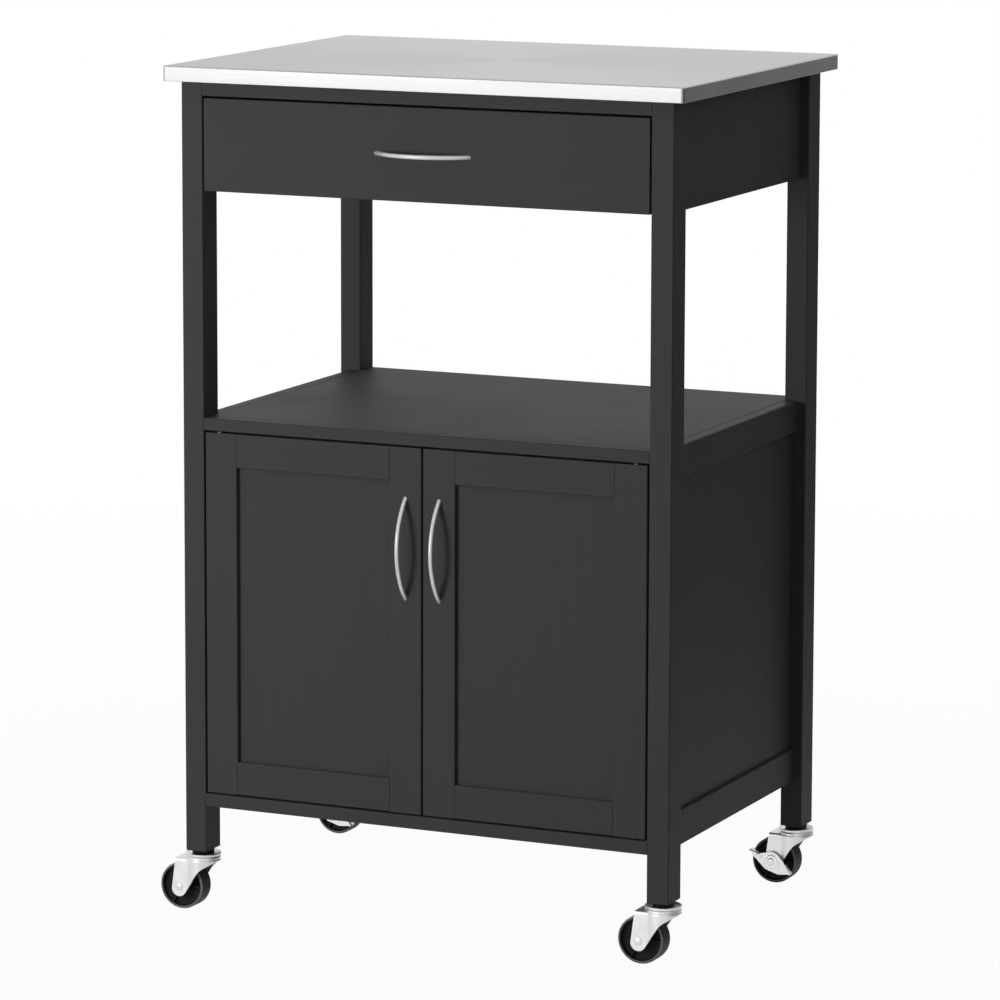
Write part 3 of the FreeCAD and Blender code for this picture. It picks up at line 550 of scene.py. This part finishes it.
def mark_rim_highlight(piece, hub):
    """Stores how much painted highlight each point gets: 1 on the rim's outer edge, less on its inner edge,
    0 elsewhere, as bell curves of the distance to the axle. The rim's edges are painted paler as a highlight."""
    points = np.empty(len(piece.data.vertices) * 3)
    piece.data.vertices.foreach_get("co", points)
    x, y, z = (points.reshape(-1, 3) / MM - hub).T
    r, out = np.hypot(x, z), np.abs(y)
    outer_edge = np.exp(-((r - 24.3) / 0.5) ** 2) * (out > 8.8)
    inner_edge = 0.7 * np.exp(-((r - 22.7) / 0.35) ** 2) * (out > 9.4)
    value = outer_edge + inner_edge
    layer = piece.data.attributes.new("painted_highlight", "FLOAT", "POINT")
    layer.data.foreach_set("value", value.astype(np.float32))
    return piece


for corner, axis in casters.items():
    hub = axis + np.array([-TRAIL, 0.0, WHEEL_R])
    moulding = laid(wheel(), (0, 1, 0), hub)
    # Paints a highlight on the rim's edges as a paler colour.
    piece = mark_rim_highlight(mesh_of("wheel_" + corner, [moulding], 32), hub)
    place(piece, "wheel_" + corner, WHEEL_BLACK, "black_plastic", "caster_wheel_" + corner)

# %% [markdown]
# The fork is pressed from one sheet: flat cheeks, a round nose, and a roof that they are bent down from.
# Seen from above, its outline is one line that runs along a cheek, round the nose and back. Every column
# of the grid stands on that line. Its lower end follows the cheek's side view: a round tip, a straight
# leading edge, and a sweep out under the nose. Solidify gives the sheet its thickness.

# %% Forks
ROOF = 56.5  # top of the fork's roof
SHEET = 1.8
CHEEK = 16.0  # outside of a cheek from the swivel axis
NOSE_R = 18.8
BEND = 2.4  # outer radius of the bend under the roof
ROOF_TAIL = -25.0
TIP = np.array([-TRAIL, WHEEL_R - 1.8])
TIP_R = 8.4
THROAT = np.array([3.0, 44.5])


def fork_plan():
    """Outline of the fork seen from above as points and outward normals, its creases eased by
    averaging neighbours, with columns close together where the tip is round."""
    crease = degrees(atan2(CHEEK, -sqrt(NOSE_R ** 2 - CHEEK ** 2)))
    swing = TIP[0] - TIP_R * np.cos(np.radians(np.linspace(0, 88, 15)))
    swing = np.insert(swing, np.searchsorted(swing, ROOF_TAIL), ROOF_TAIL)
    straight = np.linspace(TIP[0], NOSE_R * cos(radians(crease)), 12)[1:]
    cheek_x = np.concatenate([swing, straight])
    cheek = np.column_stack([cheek_x, np.full(cheek_x.size, CHEEK)])
    nose = arc((0, 0), NOSE_R, crease, 0, 26)[1:]
    side = np.vstack([cheek, nose])
    eased = side.copy()
    for _ in range(3):
        eased[20:-1] = (eased[19:-2] + 2 * eased[20:-1] + eased[21:]) / 4
    side = np.vstack([side[:20], eased[20:]])
    plan = np.vstack([side, side[::-1][1:] * [1, -1]])
    run = np.gradient(plan, axis=0)
    run /= np.linalg.norm(run, axis=1)[:, None]
    return plan, np.column_stack([-run[:, 1], run[:, 0]])


def fork_low(x):
    """Lower edge of the fork at a distance x ahead of the swivel axis: the tip's circle, then the
    tangent to the throat, then the sweep under the nose, with the throat eased."""
    gap = THROAT - TIP
    reach = np.hypot(*gap)
    touch = atan2(gap[1], gap[0]) - np.arccos(TIP_R / reach)
    corner = TIP + TIP_R * np.array([cos(touch), sin(touch)])
    slope = (THROAT[1] - corner[1]) / (THROAT[0] - corner[0])
    lead = THROAT[1] + slope * (x - THROAT[0])
    under = THROAT[1] + (ROOF - SHEET - THROAT[1]) / (NOSE_R + SHEET - THROAT[0]) * (x - THROAT[0])
    ease = 1.6
    swept = -ease * np.log(np.exp(-lead / ease) + np.exp(-under / ease))
    circle = TIP[1] - np.sqrt(np.clip(TIP_R ** 2 - (x - TIP[0]) ** 2, 0, None))
    return np.where(x < corner[0], circle, swept)


def fork_shell():
    """The pressed sheet. Rows run down the wall from its top to the lower edge, then over the bend
    (plan - n b (1 - cos a), ROOF - b (1 - sin a)) and across the roof to the middle."""
    plan, normal = fork_plan()
    x = plan[:, 0]
    rear_line = ROOF + (x - ROOF_TAIL) * (ROOF - TIP[1]) / (ROOF_TAIL - (TIP[0] - TIP_R))
    top = np.minimum(ROOF - BEND, rear_line)
    low = np.minimum(fork_low(x), top)
    t = np.linspace(0, 1, 15)[:, None]
    height = low + (top - low) * t
    wall = np.stack([np.broadcast_to(plan[:, 0], height.shape),
                     np.broadcast_to(plan[:, 1], height.shape), height], -1)
    roofed = np.nonzero(x >= ROOF_TAIL - 1e-9)[0]
    p, n = plan[roofed], normal[roofed]
    a = np.radians(np.linspace(0, 90, 6))[:, None]
    in_by = BEND * (1 - np.cos(a))
    over = np.stack([p[:, 0] - n[:, 0] * in_by, p[:, 1] - n[:, 1] * in_by,
                     np.broadcast_to(ROOF - BEND * (1 - np.sin(a)), (6, len(p)))], -1)
    share = np.linspace(0, 1, 7)[1:, None]
    rim = over[-1]
    flat = np.stack([np.broadcast_to(rim[:, 0], (6, len(p))), rim[:, 1] * (1 - share),
                     np.full((6, len(p)), ROOF)], -1)
    return merged([sheet_of(wall), sheet_of(np.concatenate([over, flat]))])


def add_thickness(piece, thickness, edge, even=True):
    """Solidify inwards, then a small bevel on the cut edges, both applied by the render."""
    solid = piece.modifiers.new("thickness", "SOLIDIFY")
    solid.thickness = thickness * MM
    solid.offset = -1.0
    solid.use_even_offset = even
    solid.use_quality_normals = True
    cut = piece.modifiers.new("cut_edges", "BEVEL")
    cut.width = edge * MM
    cut.segments = 2
    cut.limit_method = "ANGLE"
    cut.angle_limit = radians(50)
    cut.harden_normals = True
    return piece


RACE = 58.9  # top of the fork's raceway
LEVER_ROOM = 3.6  # a lever and its gaps, which the axle of a braked wheel reaches over
race_profile = rounded([(4.2, ROOF - 0.6), (18.6, ROOF - 0.6), (18.4, ROOF + 1.0), (17.6, RACE), (4.2, RACE)],
                       [0, 0, 0.9, 0.7, 0], 6)


def rivet(front, rear):
    """Axle with a low dome on each end, laid along Y from front to rear."""
    dome = arc((0, 0), 1.0, 90, 0, 10) * [4.5, 1.3]
    flat = [(0.0, 0.0), (4.5, 0.0)]
    head = merged([turned(np.vstack([dome, flat[::-1]]), 40)])
    shank = turned([(0, front), (3.0, front), (3.0, rear), (0, rear)], 40)
    heads = [laid(head, (0, 1, 0), (0, rear, 0)), laid(head, (0, -1, 0), (0, front, 0))]
    return [laid(shank, (0, 1, 0))] + heads


for corner, axis in casters.items():
    stack = LEVER_ROOM if corner in BRAKED else 0.0
    sheet = mesh_of("fork_sheet_" + corner, [shifted(fork_shell(), axis)], 30)
    add_thickness(sheet, SHEET, 0.25)
    place(sheet, "fork_" + corner, ZINC, "zinc", "caster_fork_" + corner)
    hardware = [shifted(turned(race_profile, 80), axis)]
    for part in rivet(-(CHEEK + stack), CHEEK):
        hardware.append(shifted(part, axis + np.array([-TRAIL, 0.0, WHEEL_R])))
    fittings = mesh_of("fork_race_and_axle_" + corner, hardware)
    place(fittings, "fork_" + corner, ZINC, "zinc", "caster_fork_" + corner)

# %% [markdown]
# Above each fork, a dished cap turns on the balls of the race. It is riveted to the stem by the kingpin,
# and a hexagon above it takes the spanner. The stem is pressed into a plastic socket in the leg. The
# socket's flange is the black ring that shows under the wood, and it hides the hexagon.

# %% Caps, stems and sockets
LEG_FOOT = 66.0
CAP_LOW, CAP_HIGH = 59.2, 62.0
FLANGE = 63.5
cap_profile = rounded([(0, CAP_LOW), (18.2, CAP_LOW), (19.0, CAP_LOW + 0.7), (19.0, CAP_HIGH - 0.6),
                       (18.4, CAP_HIGH), (17.0, CAP_HIGH), (16.0, CAP_HIGH - 0.7), (0, CAP_HIGH - 0.7)],
                      [0, 0.5, 0.5, 0.5, 0.5, 0.8, 0.8, 0], 5)
pin_profile = rounded([(0, 54.4), (4.0, 54.4), (4.0, CAP_LOW + 0.2), (0, CAP_LOW + 0.2)], [0, 0, 0, 0])
rivet_profile = rounded([(0, 52.4), (5.4, 52.4), (7.0, 53.6), (7.0, 54.4), (0, 54.4)],
                        [0, 1.0, 0.8, 0.2, 0], 5)
stem_profile = rounded([(0, FLANGE - 0.2), (4.0, FLANGE - 0.2), (4.0, 95.0), (3.0, 96.0), (0, 96.0)],
                       [0, 0, 0.4, 0.4, 0])
hexagon_profile = rounded([(0, CAP_HIGH - 0.8), (7.0, CAP_HIGH - 0.8), (7.0, FLANGE - 0.4), (6.6, FLANGE),
                           (0, FLANGE)], [0, 0, 0.2, 0.2, 0])
socket_profile = rounded([(8.4, CAP_HIGH - 0.4), (11.2, CAP_HIGH - 0.4), (11.8, CAP_HIGH + 0.4),
                          (11.8, LEG_FOOT), (5.5, LEG_FOOT), (5.5, 98.5), (4.2, 98.5), (4.2, FLANGE),
                          (8.4, FLANGE)],
                         [0, 0.3, 0.3, 0, 0, 0.3, 0, 0, 0], 4)
stems, sockets = [], []
for axis in casters.values():
    for profile, steps in ((cap_profile, 96), (pin_profile, 32), (rivet_profile, 48), (stem_profile, 32),
                           (hexagon_profile, 6)):
        stems.append(shifted(turned(profile, steps), axis))
    sockets.append(shifted(turned(socket_profile, 64, closed=True), axis))
place(mesh_of("caster_caps_and_stems", stems), "cart_frame", ZINC, "zinc", "caster_stems")
place(mesh_of("leg_sockets", sockets), "cart_frame", BLACK, "black_plastic", "stem_sockets")

# %% [markdown]
# The brake lever is a stamping that rocks on the axle. Its outline is all but star-shaped as seen from
# the axle, so rows of the grid can grow from the bore out to it once the few points that turn back are
# dropped. The treads are folded back from two of its edges. A short bead, a round plateau and the whole
# wing are pressed forward: the height of the grid follows how far a point is from them.

# %% Brake levers
LEVER_SHEET = 1.5
LEVER_Y = -(CHEEK + 1.8 + LEVER_SHEET)  # outer face
FOLD = 1.6  # radius of the folds
PEDAL = np.array([cos(radians(154.7)), sin(radians(154.7))]) * (WHEEL_R + 2.64)
ROOT = np.array([-12.8, 8.3])
WING_ROOT, WING_TIP = np.array([13.3, 2.6]), np.array([23.1, -11.4])
HEEL, BELLY, CHIN = np.array([7.6, -13.0]), np.array([-6.5, -8.4]), np.array([-21.0, 5.4])
HUMP_STEPS = 32
HUMP = arc((0, 0), 11.0, 118, 30, HUMP_STEPS)
TREAD_DEEP, SHOE_DEEP, SHOE_LONG = 5.2, 9.5, 2.2  # the folded edges
WING_FOLD_FROM = 5.0  # along the wing's edge
LEVER_BORE_R = 3.2
PLATEAU_R, PLATEAU_UP = 8.0, 0.55
BEAD_FROM, BEAD_TO = np.array([-15.8, 7.2]), np.array([-10.6, 5.0])
BEAD_HALF, BEAD_UP = 1.5, 0.6
WING_LINE, WING_UP = 8.2, 0.9  # where the wing starts to stand forward, and by how much


def along_edge(a, b, count, first=0.0, last=1.0):
    """Points from a to b, ends included, between two shares of the way."""
    t = np.linspace(first, last, count)[:, None]
    return a + (b - a) * t


def lever_outline():
    """Outline in runs of points, clockwise from the pedal, each with its fold depth (0 for no fold)."""
    wing_from = WING_FOLD_FROM / np.linalg.norm(WING_TIP - WING_ROOT)
    step = SHOE_LONG / np.linalg.norm(ROOT - PEDAL)
    tread = along_edge(PEDAL, ROOT, 41)
    depth = np.where(np.linspace(0, 1, 41) < step, SHOE_DEEP, TREAD_DEEP)
    fold_start = along_edge(WING_ROOT, WING_TIP, 2, 0, wing_from)[1:]
    plain_a = rounded(np.vstack([ROOT, HUMP, WING_ROOT, fold_start]),
                      [0, 1.5] + [0] * HUMP_STEPS + [2.5, 0], 5)
    wing = along_edge(WING_ROOT, WING_TIP, 30, wing_from, 1.0)
    plain_b = rounded(np.vstack([WING_TIP, HEEL, BELLY, CHIN, PEDAL]), [0, 3.0, 6.0, 3.0, 0], 8)
    long = [along_edge(a, b, max(2, int(2 * np.linalg.norm(b - a)) + 1))[:-1]
            for a, b in zip(plain_b, plain_b[1:])]
    plain_b = np.vstack(long + [plain_b[-1:]])
    return [(tread, depth), (plain_a, None), (wing, np.full(30, TREAD_DEEP)), (plain_b, None)]


def pressed(x, z):
    """How far the stamping stands out at a point: a round plateau on the axle, a short bead, and the
    wing, which is pressed forward as a whole."""
    r = np.hypot(x, z)
    plateau = PLATEAU_UP * np.clip((PLATEAU_R - r) / 1.0, 0, 1)
    a, b = BEAD_FROM, BEAD_TO
    share = np.clip(((x - a[0]) * (b - a)[0] + (z - a[1]) * (b - a)[1]) / ((b - a) @ (b - a)), 0, 1)
    away = np.hypot(x - a[0] - share * (b - a)[0], z - a[1] - share * (b - a)[1])
    bead = BEAD_UP * np.clip((BEAD_HALF - away) / 0.8, 0, 1)
    both = np.maximum(plateau, bead)
    step = np.clip((x - WING_LINE) / 1.8, 0, 1)
    return both * both * (3 - 2 * both) + WING_UP * step * step * (3 - 2 * step)


def forward_only(loop):
    """The points of a clockwise loop whose direction from the axle keeps moving on, so that no two
    rays of the fan cross."""
    angle = -np.unwrap(np.arctan2(loop[:, 1], loop[:, 0]))
    kept = [0]
    for i in range(1, len(loop)):
        if angle[i] > angle[kept[-1]] + radians(0.12) and angle[i] < angle[0] + 2 * pi - radians(0.12):
            kept.append(i)
    return loop[kept]


def lever_shell():
    """The stamping in the axle's own coordinates: a point is t of the way from the bore to the
    outline, which stands in by FOLD where an edge is folded; each fold is a quarter turn and a wall."""
    parts, rims = [], []
    for line, depth in lever_outline():
        run = np.gradient(line, axis=0)
        run /= np.linalg.norm(run, axis=1)[:, None]
        outward = np.column_stack([-run[:, 1], run[:, 0]])
        rim = line if depth is None else line - outward * FOLD
        rims.append(rim)
        if depth is not None:
            a = np.radians(np.linspace(0, 90, 6))[:, None, None]
            curl = rim + outward * (FOLD * np.sin(a))
            face = LEVER_Y - pressed(rim[:, 0], rim[:, 1])
            curl_y = face + FOLD * (1 - np.cos(a[..., 0]))
            wall = np.broadcast_to(line, (4, *line.shape))
            wall_y = face + FOLD + (depth - FOLD) * np.linspace(0, 1, 5)[1:, None]
            across = np.concatenate([curl, wall])
            down = np.concatenate([curl_y, wall_y])
            parts.append(sheet_of(np.stack([across[..., 0], down, across[..., 1]], -1)))
    loop = forward_only(np.vstack(rims))
    bore = loop / np.linalg.norm(loop, axis=1)[:, None] * LEVER_BORE_R
    flat = bore + (loop - bore) * np.linspace(0, 1, 60)[:, None, None]
    y = LEVER_Y - pressed(flat[..., 0], flat[..., 1])
    parts.append(sheet_of(np.stack([flat[..., 0], y, flat[..., 1]], -1), close_columns=True))
    return merged(parts)


for corner, side in BRAKED.items():
    hub = casters[corner] + np.array([-TRAIL, 0.0, WHEEL_R])
    lever = mesh_of("lever_" + side, [shifted(lever_shell(), hub)], 40)
    add_thickness(lever, LEVER_SHEET, 0.15, even=False)
    place(lever, "lever_" + side, ZINC, "zinc", "brake_lever_" + side)

# %% [markdown]
# The doors turn on plain pins: a collar under each door's edge keeps it off the bush. A round strike
# plate on the back of each door meets the catch. They show only when a door is open, but an open door is
# one of the poses.

# %% Door pins and strikes
STRIKE_Z = box_mm("shelf_board")[0][2] - 6.0
PIN_IN, PIN_BACK = 14.0, 6.0  # pin's axis from the door's hinge edge and from its face
STRIKE_OUT = 12.0  # strike's axis from the line between the doors
for side, way in (("left", -1), ("right", 1)):
    low, high = box_mm(f"door_{side}_hinge_stile")
    hinge_edge = low[0] if way < 0 else high[0]
    pin_x, pin_y = hinge_edge - way * PIN_IN, FACE_Y + PIN_BACK
    parts = []
    for z, up in ((low[2], -1), (high[2], 1)):
        pin = rounded([(0, -10.0), (2.0, -10.0), (2.0, 0.0), (2.6, 0.0), (2.6, 0.7), (2.0, 0.7), (2.0, 8.2),
                       (1.2, 9.0), (0, 9.0)], [0, 0.3, 0, 0.2, 0.2, 0, 0.4, 0.4, 0], 4)
        parts.append(laid(turned(pin, 32), (0, 0, up), (pin_x, pin_y, z)))
    plate = rounded([(0, -7.5), (2.0, -7.5), (2.0, 0), (5.5, 0), (5.5, 0.6), (5.1, 1.0), (0, 1.0)],
                    [0, 0.3, 0, 0.1, 0.3, 0.3, 0], 4)
    middle = (box_mm("door_left_lock_stile")[1][0] + box_mm("door_right_lock_stile")[0][0]) / 2
    parts.append(laid(turned(plate, 48), (0, 1, 0), (middle + way * STRIKE_OUT, FACE_Y + BOARD, STRIKE_Z)))
    place(mesh_of(f"door_{side}_pins_and_strike", parts), "door_" + side, ZINC, "zinc",
          f"door_{side}_pivots_and_strike")

# %% [markdown]
# The studio: a pale floor that keeps a soft shadow, a white surround and three soft lamps. The main lamp
# stands in front, a little to the left and as high as the cart, as the shadows of the pulls show. Metal
# doesn't mirror the lamps but a softbox front of its own. Two dark cards on the right, which only
# reflections meet, give the right side its deeper tone, as in a product studio.

# %% Floor and surround
def seen_or_mirrored(net):
    """1 for rays from the camera and for reflections, 0 for the light that falls on things."""
    ray = net.add("LightPath").outputs
    larger = {"operation": "MAXIMUM"}
    first = net.add("Math", larger, i0=ray["Is Camera Ray"], i1=ray["Is Glossy Ray"])
    return net.add("Math", larger, i0=first.outputs[0], i1=ray["Is Transmission Ray"]).outputs[0]


FLOOR_HALF = 14.0  # metres from the middle to a side
floor_corners = np.array([[[-1, -1, 0], [1, -1, 0]], [[-1, 1, 0], [1, 1, 0]]])
floor = mesh_of("studio_floor", [sheet_of(floor_corners * FLOOR_HALF / MM)])
floor_net = Network("pale_floor", Roughness=0.9, Specular_IOR_Level=0.1)
tone = floor_net.stretched((3.0, 3.0, 3.0), detail=2.0)
floor_net.wire("Base Color", floor_net.colour(tone, grey(0.5), grey(0.52)))
glow = floor_net.add("Emission", Strength=1.0)
blend = floor_net.add("MixShader")
far = floor_net.add("VectorMath", {"operation": "LENGTH"}, i0=floor_net.add("TexCoord").outputs["Object"])
share = floor_net.between(far.outputs["Value"], 0.96, 1.0, 0.6, 2.6)
factor = floor_net.add("Math", {"operation": "MULTIPLY"}, i0=share, i1=seen_or_mirrored(floor_net))
floor_net.tree.links.new(factor.outputs[0], blend.inputs[0])
floor_net.tree.links.new(floor_net.shader.outputs[0], blend.inputs[1])
floor_net.tree.links.new(glow.outputs[0], blend.inputs[2])
floor_net.tree.links.new(blend.outputs[0], floor_net.tree.nodes["Material Output"].inputs["Surface"])
floor.data.materials.append(floor_net.material)

LIGHT_FROM_SKY = 0.24  # share of white that the surround throws on things
world = bpy.data.worlds.new("studio")
bpy.context.scene.world = world
world.use_nodes = True
sky = world.node_tree
ray = sky.nodes.new("ShaderNodeLightPath")
top = sky.nodes.new("ShaderNodeMath")
top.operation = "MAXIMUM"
sky.links.new(ray.outputs["Is Camera Ray"], top.inputs[0])
sky.links.new(ray.outputs["Is Glossy Ray"], top.inputs[1])
strength = sky.nodes.new("ShaderNodeMapRange")
strength.inputs[3].default_value = LIGHT_FROM_SKY
strength.inputs[4].default_value = 1.0
sky.links.new(top.outputs[0], strength.inputs[0])
sky.links.new(strength.outputs[0], sky.nodes["Background"].inputs["Strength"])
sky.nodes["Background"].inputs["Color"].default_value = (1, 1, 1, 1)
print("floor and surround ready")

# %% Lamps
def lamp(name, power, size, position, target=(0.0, 0.0, 0.45)):
    """A square soft lamp that looks at a point."""
    light = bpy.data.lights.new(name, "AREA")
    light.energy = power
    light.size = size
    stand = bpy.data.objects.new(name, light)
    stand.location = position
    stand.rotation_euler = (Vector(target) - Vector(position)).to_track_quat("-Z", "Y").to_euler()
    stand.visible_glossy = False
    bpy.context.scene.collection.objects.link(stand)
    return stand


def dark_card(name, points):
    """A matt dark card that only reflections meet; the camera looks past it."""
    card = mesh_of(name, [sheet_of(np.array(points, float).reshape(2, 2, 3) / MM)])
    card.data.materials.append(Network(name, Base_Color=(0.2, 0.2, 0.2, 1.0), Roughness=0.9).material)
    card.visible_camera = card.visible_diffuse = card.visible_shadow = False


def bright_card(name, strength, points):
    """A softbox front that only reflections meet: metal mirrors it, and it lights nothing else."""
    card = mesh_of(name, [sheet_of(np.array(points, float).reshape(2, 2, 3) / MM)])
    net = Network(name)
    front = net.add("Emission", Strength=strength)
    net.tree.links.new(front.outputs[0], net.tree.nodes["Material Output"].inputs["Surface"])
    card.data.materials.append(net.material)
    card.visible_camera = card.visible_diffuse = card.visible_shadow = card.visible_transmission = False


lamp("main_lamp", 29.0, 0.45, (-0.95, -2.1, 0.8), (0.0, -0.2, 0.85))
lamp("high_lamp", 10.0, 1.8, (-0.5, -2.0, 2.8), (0.0, -0.2, 0.9))
lamp("back_lamp", 60.0, 2.0, (-0.5, 3.8, 1.6))
bright_card("softbox_front", 4.0, [[(-3.4, -4.4, 0.1), (-3.4, -4.4, 1.9)],
                                   [(-0.9, -5.4, 0.1), (-0.9, -5.4, 1.9)]])
dark_card("card_right", [[(2.2, -1.5, 0.0), (2.2, -1.5, 1.4)], [(2.2, 7.0, 0.0), (2.2, 7.0, 1.4)]])
dark_card("card_right_floor", [[(0.7, -1.0, 0.004), (2.2, -1.0, 0.004)],
                               [(0.7, 6.0, 0.004), (2.2, 6.0, 0.004)]])
print("three lamps, a softbox front and two dark cards")

# %% [markdown]
# The camera stands where the photograph was taken from: about 5.4 m away, to the right of the front and
# half a metre above the worktop, with a long lens. Its shift moves the picture, because the photograph
# isn't centred on the lens axis.

# %% Camera
LOOK_DOWN, LOOK_LEFT = 0.1458, 0.4432  # radians
lens = bpy.data.cameras.new("camera")
lens.sensor_width = 36.0
lens.lens = 184.24
lens.shift_x = 0.0963
lens.shift_y = -0.1331
lens.clip_end = 100.0
camera = bpy.data.objects.new("camera", lens)
camera.location = (2.2022, -4.8610, 1.3551)
camera.rotation_euler = (pi / 2 - LOOK_DOWN, 0.0, LOOK_LEFT)
bpy.context.scene.collection.objects.link(camera)
bpy.context.scene.camera = camera
bpy.context.scene.view_settings.view_transform = "Standard"
print("camera", tuple(round(c, 3) for c in camera.location))

bpy.context.view_layer.update()
